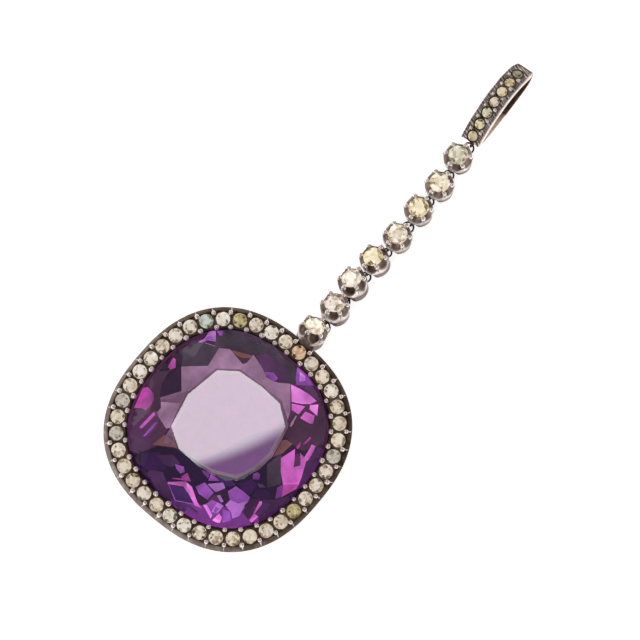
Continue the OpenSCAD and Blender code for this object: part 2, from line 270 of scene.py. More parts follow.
def makeWornMetal(name, blotches, unevenness, stops):
    # a metal whose colour runs from its recesses to its worn edges, blotched by noise; where a piece paints
    # light and shade into the same attribute, the colour carries them too
    material, tree, shader = newMaterial(name, Metallic=1.0)
    place = addNode(tree, "TexCoord").outputs["Object"]
    wearAndLight = addNode(tree, "Attribute", attribute_name="wearAndLight").outputs["Fac"]
    cloud = addNode(tree, "TexNoise", {"Vector": place}, blotches).outputs["Fac"]
    uneven = addNode(tree, "Math", {0: cloud}, {1: unevenness, 2: -unevenness / 2}, operation="MULTIPLY_ADD")
    amount = addNode(tree, "Math", {0: wearAndLight, 1: uneven.outputs[0]}, operation="ADD", use_clamp=True)
    amount = amount.outputs[0]
    tree.links.new(ramp(tree, amount, stops), shader.inputs["Base Color"])
    return material, tree, shader, place, cloud, amount


def makeSilver():
    # Old silver, hand finished and never polished back: bright and slightly pink where it is worn, with a
    # brown tarnish in the recesses, and fine scratches 0.1 mm apart. On the setting's bevel the same colour
    # also carries a painted highlight and painted shade.
    material, tree, shader, place, cloud, amount = makeWornMetal(
        "tarnishedSilver", {"Scale": 900.0, "Detail": 5.0, "Roughness": 0.65}, 0.9,
        [(0.0, "#3a2c22"), (0.3, "#6d5c4f"), (0.6, "#978a84"), (0.85, "#ddd2ce"), (1.0, "#fff3ee")])
    tree.links.new(mapRange(tree, amount, target=(0.55, 0.27)), shader.inputs["Roughness"])
    scratch = addNode(tree, "TexNoise", {"Vector": place}, {"Scale": 9000.0, "Detail": 2.0}).outputs["Fac"]
    bump = addNode(tree, "Bump", {"Height": scratch}, {"Strength": 0.25, "Distance": 0.00002})
    tree.links.new(bump.outputs["Normal"], shader.inputs["Normal"])
    return material


def makeRoseGold():
    # Nine carat rose gold, polished once and dulled by wear, and painted darker where the band's inside lies
    # in shade
    material, tree, shader, place, cloud, amount = makeWornMetal(
        "wornRoseGold", {"Scale": 1200.0, "Detail": 4.0}, 0.6,
        [(0.0, "#4a3a32"), (0.35, "#98857a"), (0.7, "#d6c1b3"), (1.0, "#f4e5da")])
    tree.links.new(mapRange(tree, cloud, target=(0.2, 0.4)), shader.inputs["Roughness"])
    return material


silver = makeSilver()
roseGold = makeRoseGold()

cushionPower = 2.44  # of the cushion outline: a squared circle, where the powers of x and y add up


def cushionPoints(halfWidth, t, height):
    # (half width, angle, height) to x, y, z, round the cluster's middle
    p = cushionPower
    r = halfWidth * (np.abs(np.cos(t)) ** p + np.abs(np.sin(t)) ** p) ** (-1 / p)
    return clusterMiddle + np.stack(np.broadcast_arrays(r * np.cos(t), r * np.sin(t), height), -1)


def smooth(x):
    # 0 to 1 with a slow start and end
    x = np.clip(x, 0, 1)
    return x * x * (3 - 2 * x)


def turns(count):
    # angles once round
    return np.linspace(0, 2 * np.pi, count, endpoint=False)


def balls(centres, radii, around=12, rings=8):
    # spheres as grids: a half circle of rings turned about z
    a = turns(around)[:, None]
    b = np.linspace(0, np.pi, rings)[None, :]
    ball = np.stack(np.broadcast_arrays(np.cos(a) * np.sin(b), np.sin(a) * np.sin(b), np.cos(b)), -1)
    return centres[:, None, None, :] + ball[None] * np.asarray(radii)[:, None, None, None]


def taperedRidges(path, side, radii, around=8):
    # Round ridges along many paths (ridges, steps, 3): a circle in the plane of side and the path's own
    # normal
    out = unit(np.cross(side, unit(np.gradient(path, axis=1))))
    a = turns(around)[None, None, :, None]
    ring = side[:, :, None] * np.cos(a) + out[:, :, None] * np.sin(a)
    return path[:, :, None] + ring * np.asarray(radii)[None, :, None, None]


def wireRing(middle, axis, radius, wire, around=40, sides=8):
    # a ring of round wire about an axis: a small circle carried round a large one
    axis = unit(axis)
    first = unit(np.cross(axis, [0.3, 0.2, 0.9]))
    second = np.cross(axis, first)
    a, b = turns(around)[:, None, None], turns(sides)[None, :, None]
    out = first * np.cos(a) + second * np.sin(a)
    return (middle + out * (radius + wire * np.cos(b)) + axis * wire * np.sin(b))[None]


# The eyes that the links run through. sides has the side of the chain's middle that the upper eye of the
# mount and of each collet lies on.
eyes = dict(side=0.17, reach=1.42, height=0.46, radius=0.34, wire=0.11, sides=(1, 1, -1, 1, 1, -1, 1, -1, -1))
mountEye = clusterMiddle + [eyes["side"], 12.3, 4.3]


def wireEye(middle):
    return wireRing(middle, np.array([1.0, 0, 0]), eyes["radius"], eyes["wire"])


# The setting. The half widths of its face, its grains and its row of stones, and how its face is cut.
# crowding draws the mesh together between the stones, and the angle of the side where the bevel faces the
# window, in radians, sets where the bevel's colour is painted lightest: a painted highlight, with painted
# shade opposite.
halo = dict(stones=40, rowHalf=12.1, phase=0.72, stoneHeight=8.28, stoneRadius=0.84, stoneLean=(0.09, -0.045),
            top=8.4, faceIn=11.03, faceOut=13.0, faceSunk=0.1, troughDepth=0.24, toolMarks=0.012,
            bowlRadius=0.93, bowlSlope=0.28, bowlRim=8.3, bowlDepth=0.8, crowding=0.07, stepsPerStone=30,
            outerGrains=12.82, outerSize=1.25, innerGrains=11.16, innerSize=1.5, grainRadius=0.235,
            post=0.25, postTop=-0.34, postFoot=-1.9, paintedLightSide=4.2, seed=5)


def rowAngle(u):
    # The angle at which the row has run u stones along the outline: arc length turned to angle by
    # interpolation
    t = np.radians(np.arange(0, 360.1, 0.1))
    steps = np.linalg.norm(np.diff(cushionPoints(halo["rowHalf"], t, 0.0), axis=0), axis=1)
    run = np.concatenate([[0], np.cumsum(steps)])
    s = ((np.asarray(u) + halo["phase"]) / halo["stones"]) % 1 * run[-1]
    return np.interp(s, run, t)


def mountShell(s):
    # The profile of the setting, carried round the outline. Its face has a trough along the row, and a bowl
    # round each stone.
    n = s["stones"]
    step = np.arange(n * s["stepsPerStone"]) / s["stepsPerStone"]
    u = step + s["crowding"] * np.sin(2 * np.pi * step)
    t = rowAngle(u)
    # (half width, height): up the amethyst's seat, over the face, down the bevel, under the plate, down the
    # gallery, under its foot and up inside
    profile = np.array(
        [(10.5, 6.7), (10.52, 7.2), (11.16, 7.7), (11.12, 8.02), (10.93, 8.1), (10.94, 8.17), (10.99, 8.22)]
        + [(face, s["top"]) for face in np.linspace(s["faceIn"], s["faceOut"], 36)]
        + [(13.06, 8.37), (13.16, 8.28), (13.27, 8.18), (13.38, 8.07), (13.46, 7.98), (13.5, 7.88)]
        + [(13.44, 7.7), (13.2, 7.4), (12.9, 7.05), (12.6, 6.74), (12.5, 6.7), (11.6, 6.7), (11.3, 6.62)]
        + [(11.2, 6.2), (10.9, 4.6), (10.6, 3.0), (10.3, 1.5), (10.08, 0.4), (10.02, 0.06), (9.96, 0.0)]
        + [(9.24, 0.0), (9.2, 0.06), (9.6, 2.0), (10.0, 4.2), (10.4, 6.4)])
    a, height = profile.T[:, None]
    points = cushionPoints(a, t[:, None], height)
    middles = cushionPoints(s["rowHalf"], rowAngle(np.arange(n)), s["stoneHeight"])
    away = np.linalg.norm((points - middles[np.round(u).astype(int) % n][:, None])[..., :2], axis=-1)
    onFace = (height == s["top"]) & (a < s["faceOut"])
    trough = smooth((a - s["faceIn"]) / 0.1) * smooth((s["faceOut"] - 0.03 - a) / 0.09)
    marks = s["toolMarks"] * np.sin(u * 2 * np.pi * 7 + 3 * np.sin(u))[:, None]
    bowl = s["bowlRim"] - s["bowlDepth"] * smooth((s["bowlRadius"] - away) / s["bowlSlope"])
    cut = np.minimum(height - s["faceSunk"] - s["troughDepth"] * trough + marks, bowl)
    points[..., 2] = np.where(onFace, cut, height)
    # bright on the bevel, painted lighter on the side that faces the window and darker opposite: wear with a
    # painted highlight and painted shade; dark in the trough and under the amethyst's edge
    bevelWearAndLight = 0.33 + 0.22 * np.cos(t - s["paintedLightSide"])[:, None]
    wearAndLight = np.select([height < 6.9, (a < 11.02) & (height > 7.5), (a > 12.9) & (height > 7.8), onFace],
                     [0.42, 0.05, bevelWearAndLight, 0.26], 0.62)
    return sheet(points[None], wearAndLight[None])


def makeMount(s):
    rng = np.random.default_rng(s["seed"])
    n = s["stones"]
    sheets = [mountShell(s)]
    # grains between the stones, the outer ones with a tail cut over the bevel
    k = np.arange(n) + 0.5
    for half, size in ((s["outerGrains"], s["outerSize"]), (s["innerGrains"], s["innerSize"])):
        t = rowAngle(k + rng.normal(0, 0.03, n))
        centres = cushionPoints(half + rng.normal(0, 0.025, n), t, s["top"] + rng.normal(0.0, 0.02, n))
        radii = s["grainRadius"] * size * rng.normal(1, 0.07, n)
        sheets.append(sheet(balls(centres, radii), 1.2, wrapV=False))
    tail = np.array([(12.7, 8.38), (12.9, 8.42), (13.05, 8.38), (13.2, 8.25), (13.34, 8.12), (13.44, 8.02)])
    skew = rng.normal(0.02, 0.05, n)
    t = rowAngle(k[:, None] + skew[:, None] * np.linspace(0, 1, len(tail))[None])
    path = cushionPoints(tail[None, :, 0], t, tail[None, :, 1])
    ahead = unit(cushionPoints(tail[None, :, 0], t + 0.001, tail[None, :, 1]) - path)
    ridges = taperedRidges(path, ahead, [0.0, 0.13, 0.11, 0.07, 0.04, 0.0])
    sheets.append(sheet(ridges, 0.8, wrapU=False))
    # the eye that the chain hangs from, and its post, a cylinder along y with closed ends
    sheets.append(sheet(wireEye(mountEye), 0.3))
    a = turns(16)[:, None]
    radius = s["post"] * np.array([0, 1, 1, 0])
    along = np.repeat([s["postFoot"], s["postTop"]], 2)
    post = np.stack(np.broadcast_arrays(radius * np.cos(a), along, radius * np.sin(a)), -1)
    sheets.append(sheet((mountEye + post)[None], 0.3, wrapV=False))
    makePiece("cluster_setting", sheets, silver, ["cluster_mount"])


makeMount(halo)
print("cluster setting made")


def cadPoints(name):
    # the corners of a CAD node's mesh
    cad = bpy.data.objects[name]
    points = np.empty(len(cad.data.vertices) * 3, np.float32)
    cad.data.vertices.foreach_get("co", points)
    turn, shift = np.array(cad.matrix_world.to_3x3()), np.array(cad.matrix_world.translation)
    return points.reshape(-1, 3) @ turn.T / mm + shift / mm


def cadFacets(name):
    # the planes of a CAD stone's facets: normal, distance from the origin, and the whole area
    points = cadPoints(name)
    faces = [tuple(f.vertices) for f in bpy.data.objects[name].data.polygons]
    a, b, c = (points[[f[i] for f in faces]].astype(float) for i in range(3))
    normals = np.cross(b - a, c - a)
    areas = np.linalg.norm(normals, axis=1) / 2
    keep = areas > 1e-5
    normals, areas = unit(normals[keep]), areas[keep]
    index = np.unique(np.round(normals, 2), axis=0, return_inverse=True)[1].reshape(-1)
    mean = unit(np.stack([np.bincount(index, areas * normals[:, i]) for i in range(3)], -1))
    return mean, (points @ mean.T).max(0), np.bincount(index, areas)


def seatOf(name, tableHeight):
    # where a CAD stone sits, from its largest facet, the table: axes as columns, and the girdle's middle
    normals, distances, areas = cadFacets(name)
    points = cadPoints(name)
    axis = normals[areas.argmax()]
    middle = points[points @ axis > distances[areas.argmax()] - 0.01].mean(0)
    along = unit(np.cross(axis, [1, 0, 0]))
    return np.stack([np.cross(along, axis), along, axis], 1), middle - axis * tableHeight


# Small old-cut stones. Heights and reaches are parts of the stone's width.
oldCut = dict(sides=8, girdle=0.03, crown=0.17, star=0.085, table=0.54, lowMeet=0.68, culet=0.1, depth=0.4)
# Colours that the stones vary between, and the odd ones of the halo by their number
stoneTints = ["#f6eddf", "#f0e5d1", "#ece2d4", "#f8f2e8", "#e8dcc8"]
oddTints = {2: "#cdc8bf", 9: "#f0cdb0", 13: "#d2c698", 15: "#d0dcd6", 22: "#cdc6ba", 24: "#c9c3b8",
            38: "#cfc494"}


def oldCutStone(diameter, depth, s=oldCut):
    # Corners and faces of an old-cut stone round z, its girdle at z = 0: rings of corners, joined to a
    # table, stars, mains and halves above, the girdle, halves and mains below, and a culet
    n = s["sides"]
    r = diameter / 2
    half = np.pi / n
    a = np.arange(n) * 2 * half
    g = np.arange(2 * n) * half

    def ring(angles, reach, z):
        return np.stack([reach * np.cos(angles), reach * np.sin(angles), np.full(len(angles), z)], -1)

    crownSlope = (1 - s["table"]) / (s["crown"] - s["girdle"] / 2)
    starReach = r * (1 - crownSlope * (s["star"] - s["girdle"] / 2)) / np.cos(half)
    lowReach = r * (1 - (1 - s["culet"]) * s["lowMeet"]) / np.cos(half)
    points = np.concatenate([
        ring(a, r * s["table"], diameter * s["crown"]), ring(a + half, starReach, diameter * s["star"]),
        ring(g, r, diameter * s["girdle"] / 2), ring(g, r, -diameter * s["girdle"] / 2),
        ring(a + half, lowReach, -depth * s["lowMeet"]),
        ring(a + half, r * s["culet"] / np.cos(half), -depth)])
    i, j = np.arange(n), np.arange(2 * n)
    nextI, lastI, after, nextJ = (i + 1) % n, (i - 1) % n, (2 * i + 2) % (2 * n), (j + 1) % (2 * n)
    star, top, under, lower, tip = n, 2 * n, 4 * n, 6 * n, 7 * n
    faces = [i.tolist()]
    for columns in ((i, star + i, nextI), (i, star + lastI, top + 2 * i, star + i),
                    (star + i, top + 2 * i, top + 2 * i + 1), (star + i, top + 2 * i + 1, top + after),
                    (top + j, under + j, under + nextJ, top + nextJ),
                    (lower + i, under + 2 * i + 1, under + 2 * i),
                    (lower + i, under + after, under + 2 * i + 1),
                    (under + 2 * i, lower + i, tip + i, tip + lastI, lower + lastI)):
        faces += np.stack(columns, -1).tolist()
    faces.append((tip + i)[::-1].tolist())
    return points, faces


def makeStones(name, places, replaces, seed, diameter, depth, tints, glow=1.0):
    # Stones on seats (axes, middle) in one mesh. tint keeps each stone's colour times glow, which brightens
    # it as painted light, and facet a value from 0 to 1 for each facet, its painted brightness, which the
    # material reads.
    rng = np.random.default_rng(seed)
    points, faces = oldCutStone(diameter, depth)
    sides = oldCut["sides"]
    allPoints, allFaces, tint, facet = [], [], [], []
    for k, (axes, middle) in enumerate(places):
        tilt = rng.normal(0, 0.035, 2)
        turn = rng.uniform(0, 2 * np.pi)
        c, sn = math.cos(turn), math.sin(turn)
        p = points @ np.array([[c, sn, 0], [-sn, c, 0], [0, 0, 1]])
        p = p + np.stack([p[:, 2] * tilt[0], p[:, 2] * tilt[1], -p[:, 0] * tilt[0] - p[:, 1] * tilt[1]], -1)
        allFaces += [[v + k * len(points) for v in f] for f in faces]
        allPoints.append((middle + p @ axes.T) * mm)
        tint += [[c * glow for c in linear(tints[k])[:3]] + [1]] * len(faces)
        # each facet's painted brightness, which stands for the light it sends back
        facetShine = rng.uniform(0.3, 1, len(faces))
        facetShine[0] = rng.uniform(0.6, 1)  # the table
        facetShine[1:sides + 1] = rng.uniform(0.3, 1, sides)  # stars
        facetShine[sides + 1:2 * sides + 1] = rng.uniform(0.15, 1, sides)  # mains
        facet.append(facetShine)
    mesh = bpy.data.meshes.new(name)
    mesh.from_pydata(np.concatenate(allPoints), [], allFaces)
    setAttribute(mesh, "tint", "FLOAT_COLOR", "FACE", tint)
    setAttribute(mesh, "facet", "FLOAT", "FACE", np.concatenate(facet))
    mesh.shade_flat()
    return finishPiece(name, mesh, [oldDiamond], replaces)


def makeOldDiamond():
    # Old-cut diamonds over aged foil, slightly brown and never cleaned. Each facet is painted paler or
    # darker, and a fine cell pattern adds painted glints: painted light that the facets send back, given
    # again as a glow of the same colour. They also mirror the studio strongly.
    material, tree, shader = newMaterial("foiledOldDiamond", Roughness=0.06, IOR=1.75, Emission_Strength=0.45)
    tint = addNode(tree, "Attribute", attribute_name="tint").outputs["Color"]
    facet = addNode(tree, "Attribute", attribute_name="facet").outputs["Fac"]
    place = addNode(tree, "TexCoord").outputs["Object"]
    glints = addNode(tree, "TexVoronoi", {"Vector": place}, {"Scale": 2700.0}).outputs["Color"]
    glint = addNode(tree, "SeparateXYZ", {"Vector": glints}).outputs["X"]
    mixed = addNode(tree, "Mix", {2: facet, 3: glint}, {0: 0.36}).outputs[0]
    shade = ramp(tree, mixed, [(0.16, "#453a2f"), (0.36, "#95897a"), (0.52, "#dad0c0"), (0.78, "#ffffff")])
    colour = addNode(tree, "VectorMath", {0: tint, 1: shade}, operation="MULTIPLY").outputs[0]
    for socket in ("Base Color", "Emission Color"):
        tree.links.new(colour, shader.inputs[socket])
    return material


oldDiamond = makeOldDiamond()


def makeHaloStones(s):
    rng = np.random.default_rng(s["seed"] + 1)
    # leaning a little to the lower left, so that the stones' tables mirror the wall and not the softbox
    leanX, leanY = s["stoneLean"]
    upright = np.array([[1, 0, leanX], [0, 1, leanY], [-leanX, -leanY, 1]])
    stones = range(s["stones"])
    places = [(upright, p) for p in cushionPoints(s["rowHalf"], rowAngle(stones), s["stoneHeight"])]
    tints = [oddTints.get(k, stoneTints[rng.integers(len(stoneTints))]) for k in stones]
    width = 2 * s["stoneRadius"]
    makeStones("halo_stones", places, ["halo_diamonds"], s["seed"] + 2, width, oldCut["depth"] * width, tints)


makeHaloStones(halo)
print("halo stones made")

# The amethyst: a hull of clear stone, and inside it, just below the crown, plates of painted light and
# shade that stand for its back facets as they are seen from above, with a glow of their own: painted
# reflections, glints and dark. They lie on a cone with a flat top: rise is its height over the girdle, flat
# and edge are its half widths there and at the girdle. The hull's girdle stands widen further out than the
# CAD's, and leftward more to the picture's left. uneven and calm are how far a plate's corners differ in
# painted brightness, calm under the table.
amethyst = dict(widen=0.33, leftward=0.12, girdleHeight=7.95, flat=6.4, edge=10.98, rise=1.9, under=-0.4,
                sunk=0.12, cell=1.1, plate=0.06, step=0.003, uneven=0.27, calm=0.04, seed=11)
# Colours of the painted light and shade that stand for what the back facets send up
paintedGemLight = dict(
    black="#220434", ink="#321439", slate="#4a3a4d", plum="#4b2c46", wine="#603460", brown="#7a4f50",
    violet="#552c66", grape="#7a3789", purple="#9650ae", magenta="#ae459c", pink="#d86ccc", orchid="#f08ae8",
    lilac="#c27cd6", mauve="#aa82a4", dusk="#84607e", heather="#62396a", haze="#782288", veil="#8c3a88",
    deep="#350a48", indigo="#4a2468", berry="#4e2658", shade="#45204e")
# The painted patches of light and shade that stand for the back facets, from the lowest to the topmost:
# colour, then corners as the camera sees them, in millimetres to the right of the cluster's middle and up
# from it
paintedBackPatches = [
    ("plum", (-11.6, 1.6), (-10.6, 4.4), (-7.8, 7.8), (-4.4, 10.6), (0, 11.7), (4.4, 10.6), (7.8, 7.8),
     (10.6, 4.4), (11.7, 0), (11.3, -2.7), (6, 0), (0, 6), (-6, 0)),
    ("ink", (-11.4, -2.4), (-10, -2.6), (-8, -5), (-6, -8), (-6.4, -9.2), (-7.8, -7.8), (-10.5, -4.4)),
    ("wine", (-11.6, 1.8), (-10.2, 2.2), (-8, 1.7), (-6.6, 0), (-8, -2), (-10, -3), (-11.5, -2.5)),
    ("black", (-10.6, -3), (-8, -2), (-5.6, -2.4), (-2.4, -4.6), (-1, -6), (-3, -7), (-8, -7.4)),
    ("black", (0, -5.6), (3.4, -4.7), (4.8, -3.6), (6, -6), (5.6, -8.2), (2.9, -8.2), (-0.3, -6.8)),
    ("berry", (-8.9, -5.2), (-7.2, -5.5), (-6.4, -8), (-6, -9.4), (-8.2, -7.8)),
    ("grape", (-6.5, -8.1), (-4, -8.8), (-2.6, -8.8), (0, -9), (3, -9), (3.6, -10.9), (0, -11.7), (-4, -10.8),
     (-6.6, -9)),
    ("shade", (2.6, -8), (5.4, -8.2), (6.4, -8), (8.4, -7.1), (6.9, -8.7), (4.4, -10.5), (2.8, -11.1),
     (1.6, -9.6)),
    ("violet", (-6.3, -8.3), (-4.4, -8.8), (-3.4, -9.6), (-4.6, -10.2), (-5.6, -9.6)),
    ("berry", (7.9, -7), (8.5, -5.6), (9.1, -3.8), (10.3, -2.2), (11.4, -2.6), (10.4, -4.7), (8.7, -6.8)),
    # the table, seen through to the back, with painted light that adds to the softbox's reflection in it
    ("dusk", (-6.5, 0), (-4.3, 4.1), (-1.4, 6.6), (1.4, 6.5), (6, 3), (6.8, 0.2), (5, -3.1), (3.4, -4.7),
     (1, -5.9), (-1.8, -5.2), (-5.5, -2.4)),
    ("veil", (-6.2, 0), (-4.1, 3.85), (-1.3, 6.2), (1.25, 6.1), (5.6, 2.8), (6.35, 0.15), (4.65, -2.95),
     (3.15, -4.4), (0.95, -5.5), (-1.65, -4.85), (-5.2, -2.25)),
    ("haze", (-3.5, -3.9), (-1, -3), (1.4, -1.4), (4, -0.4), (6.1, -0.2), (4.75, -2.85), (3.1, -4.3),
     (1.7, -5.2), (0.3, -5.35), (-1.7, -4.8)),
    # slate and plum, from the top to both sides
    ("slate", (-1.5, 9.2), (-1.3, 10.9), (0, 11.5), (2, 11.2), (4, 10.4), (6.1, 9.1), (6.2, 8.1), (3, 8.5),
     (0.2, 9.1)),
    ("slate", (5.2, 8.2), (6.2, 8.8), (7.7, 7.4), (8.3, 6.5), (7.8, 5.4), (7.2, 4.9), (6.9, 5.7), (6.4, 7)),
    ("slate", (-5.2, 9.1), (-4, 10.1), (-2.6, 9.8), (-1, 9.1), (-2.2, 7), (-5.3, 7)),
    ("ink", (-6.9, 6.2), (-6.2, 6.9), (-5.3, 7), (-5.3, 4.1), (-7.8, 3.5), (-7.6, 4.8)),
    ("plum", (-9, 4.9), (-7.9, 6.4), (-6.9, 6.3), (-7.8, 4.7), (-7.8, 1.9), (-8.7, 2), (-8.4, 3.5)),
    ("ink", (-8, 6.5), (-6.9, 8), (-5.7, 8.9), (-5.1, 8.2), (-5.3, 7), (-6.3, 6.7)),
    ("plum", (-9, -1.1), (-7.7, 0.5), (-6.9, -0.3), (-7.6, -1.1)),
    ("plum", (6.7, 0.1), (6.4, -0.9), (7.4, -1.9), (8.6, -2.6), (10.2, -2.1), (11.1, -1.5), (11.1, 1),
     (10.3, 2.6), (7.4, 1.6)),
    ("slate", (4.4, -4.1), (5.9, -2.9), (6.2, -3.6), (6, -6.4), (4.4, -6.8)),
    # mauve next to the table: painted reflections of the studio in the crown's star facets
    ("mauve", (-2.2, 7), (-1, 9.1), (0.2, 8.9), (1.6, 7.2), (2, 6.2), (1.4, 6.5), (-1.4, 6.6), (-2, 6.1)),
    ("mauve", (1.5, 7.1), (2.1, 7.3), (2.9, 8.3), (3.9, 6.7), (4.3, 5.7), (5.2, 5.2), (7.1, 5), (7, 1.7),
     (6.7, 0.9), (6, 3), (4.4, 4.2), (1.4, 6.5)),
    ("mauve", (-5.3, 7), (-2.2, 7), (-1.9, 6.2), (-4.3, 4.1), (-5.2, 3.9)),
    ("dusk", (-7.7, 3.4), (-5.3, 4.1), (-4.3, 4.1), (-5.2, 2.6), (-7.6, 2.9)),
    ("mauve", (-7.6, 2.9), (-5.2, 2.7), (-6.5, 0), (-6.9, -0.1), (-8.1, 1.7), (-7.6, 2.2)),
    ("brown", (0.3, 8.8), (1.3, 8.6), (2.8, 8.2), (2.5, 7.9), (1.7, 7.9), (1.1, 8.1)),
    ("brown", (-8.6, -1.9), (-7.2, -0.8), (-6.3, -1), (-5.6, -2.3)),
    ("brown", (5.1, -3.2), (6, -1.4), (6.6, -1.3), (7.3, -1.8), (6.2, -2.8)),
    ("dusk", (-7, -0.8), (-6.6, -0.2), (-6.4, -0.2), (-5.7, -2.1), (-7.3, -1.7)),
    # violet fields
    ("heather", (3.1, 8.3), (4.2, 8.5), (5.5, 8.1), (6.3, 7.3), (7.1, 5), (5.6, 5.1), (4.3, 5.8), (3.9, 6.7)),
    ("purple", (4.1, 6.3), (5.2, 6.3), (5.7, 5.6), (5.2, 5.2), (4.3, 5.7)),
    ("heather", (7.3, 4.9), (9, 5.1), (9.6, 5), (10.3, 4), (10.5, 3.1), (9.4, 3.9), (8.3, 4.6)),
    ("deep", (-9.9, -2.9), (-7.8, -2.7), (-6.9, -4.6), (-8.6, -5.1), (-10.1, -4.4)),
    ("berry", (-9.4, -5.2), (-8.9, -4.8), (-7.4, -5), (-7.2, -5.9), (-8.4, -6.6)),
    ("shade", (-8, -3.1), (-6.2, -3), (-5.4, -4), (-6.4, -4.4), (-7.4, -4.1)),
    ("deep", (1.2, -6.2), (2.6, -5.9), (3.3, -6.5), (2.4, -7.6), (1.6, -7)),
    ("deep", (3.2, -7), (4.4, -7.1), (5.2, -7.9), (3.9, -8.2), (2.8, -7.8)),
    ("indigo", (-6.9, -6.4), (-5.4, -6.6), (-4.5, -7.2), (-4, -8.7), (-5.5, -8.6), (-6.3, -8.1)),
    ("grape", (-2.9, -4.7), (-2, -5.1), (-2.2, -5.7), (-2.7, -5.2)),
    ("grape", (5.4, -8.1), (5.6, -6.8), (6.2, -6.5), (6.3, -7.9)),
    ("grape", (3.3, -5), (3.6, -5.3), (3.5, -5.9), (2.7, -5.8), (2.8, -5.2)),
    ("violet", (3.3, -6.3), (3.9, -6.4), (4.3, -6.8), (3.5, -6.8)),
    ("violet", (3.2, -9.9), (4, -8.6), (4.9, -8.7), (4, -10.1)),
    # glints, clockwise from the top
    ("lilac", (-3.4, 9.9), (-2.7, 10.3), (-2.1, 11.2), (-1.4, 11.2), (-1.4, 9.9), (-2.3, 10.1), (-2.9, 9.8)),
    ("purple", (-2.6, 9.9), (-2.4, 10.6), (-1.6, 10.5), (-1.5, 10), (-2.2, 10.2)),
    ("purple", (-1.3, 11.2), (-0.5, 11.2), (-0.6, 10.7), (-0.9, 10.6)),
    ("mauve", (-2.6, 9.8), (-1.5, 9.4), (-1.4, 9.3), (-2.6, 9.7)),
    ("purple", (8, 7), (9, 6.2), (9.9, 4.9), (7.8, 4.9), (7.8, 5.9)),
    ("lilac", (8.3, 6.5), (8.9, 6), (8.9, 5.4), (8.2, 5.3)),
    ("orchid", (7.2, 4.9), (8.3, 4.4), (9.4, 3.8), (10.2, 3.1), (9.4, 2.7), (8.4, 2.7), (7.2, 2.9)),
    ("pink", (7.2, 2.7), (8.4, 2.5), (8.8, 2.4), (8, 1.5), (7.2, 2)),
    ("orchid", (9.4, 2.6), (10.4, 2.7), (10.2, 1.4), (9.3, 2.1)),
    ("pink", (8.2, 1.1), (8.8, 1.8), (9.9, 1.4), (9.7, 0.5), (9.3, 0.5)),
    ("mauve", (6.9, 0.2), (7.7, 1.4), (7.8, 1.3), (7.1, 0.1)),
    ("magenta", (8.5, -1.9), (9.4, -1), (9.5, -1.2), (8.9, -1.8)),
    ("magenta", (7.7, -2.2), (8.2, -1.6), (8.2, -2.1), (7.9, -2.4)),
    ("pink", (8.7, -3.4), (9.6, -1.9), (10.1, -2.1), (9.9, -2.6), (9.1, -3.8)),
    ("pink", (6, -3.4), (7.6, -2.4), (7.6, -4.5), (8.3, -4.3), (8.2, -2.8), (9, -3.7), (8.5, -5.6),
     (8.1, -6.6), (6.3, -6.6), (6, -5)),
    ("pink", (6.6, -5.6), (7.4, -4.7), (8.6, -4.7), (8.4, -5.8), (8, -6.2), (6.8, -6.3)),
    ("magenta", (6.3, -6.5), (8.1, -6.5), (7.9, -7), (6.2, -7.9)),
    ("wine", (7.5, -4.5), (7.7, -3), (8, -2.9), (8.3, -3.5), (8.3, -4.3)),
    ("pink", (2.4, -10.6), (3, -9.8), (3.5, -10.2), (2.7, -10.9)),
    ("pink", (2.9, -9.8), (3.6, -8.4), (3.9, -8.4), (3.9, -8.7), (3.1, -9.8)),
    ("purple", (0, -7.2), (0.9, -6.6), (1.6, -7.1), (2.5, -7.9), (2.2, -8.6), (0.3, -8.4)),
    ("lilac", (-0.3, -8.8), (0.3, -8.2), (1.2, -8.6), (2.1, -8.4), (1.3, -10.1), (0.5, -10.4), (0.4, -9.7)),
    ("purple", (-0.6, -9.3), (0.2, -9.6), (0.4, -10.6), (-0.6, -10.9)),
    ("orchid", (-1.8, -10.6), (-1, -9.8), (-0.7, -10.3), (-0.9, -10.9), (-1.2, -10.9)),
    ("wine", (-2.2, -8.3), (-1.5, -7.5), (-0.6, -8.4), (-0.8, -9), (-2, -8.8)),
    ("lilac", (-1.3, -7.7), (-0.9, -7.6), (-0.5, -8.4), (-0.8, -8.5)),
    ("purple", (-3.7, -6.7), (-2.6, -6.2), (-1.6, -7.4), (-2.3, -8.2), (-3.3, -7.5)),
    ("lilac", (-2.3, -6.4), (-0.5, -6.2), (-0.3, -6.8), (-1.4, -7.3)),
    ("purple", (-1.9, -5.2), (-1.3, -5.6), (-0.9, -6), (-2.2, -6)),
    ("indigo", (-1.3, -5.5), (0.4, -5.9), (0.9, -6.5), (-0.2, -6.6), (-0.9, -6)),
    ("purple", (-2.8, -8.9), (-1.8, -8.2), (-0.5, -8.9), (-1.2, -9.8), (-2, -10.5)),
    ("lilac", (-1.2, -8.5), (-0.5, -8.9), (-1.2, -9.8), (-1.9, -9.6)),
    ("orchid", (-2.8, -8.8), (-2.4, -8.8), (-1.8, -10), (-2, -10.4)),
    ("purple", (-7, -6.2), (-6.9, -6.2), (-6, -8.3), (-3.5, -8.8), (-3.5, -8.9), (-6.1, -8.4)),
    ("pink", (-6.9, -6.2), (-4.8, -6.1), (-4.1, -6.7), (-3.5, -8.5), (-3, -9.2), (-3.8, -8.9), (-4.5, -7.5),
     (-5.1, -6.7), (-6.9, -6.4)),
    ("orchid", (-4.7, -6.3), (-4.2, -6.8), (-3.6, -8.5), (-4.1, -8.2), (-4.6, -7.2)),
    ("purple", (-6, -4.1), (-5, -4.4), (-4.9, -5), (-5.4, -5.2), (-5.9, -4.6)),
    ("magenta", (-5.3, -5.5), (-4.6, -5.1), (-4.2, -6.1), (-6.4, -5.8), (-6.3, -5.7), (-5.2, -5.8)),
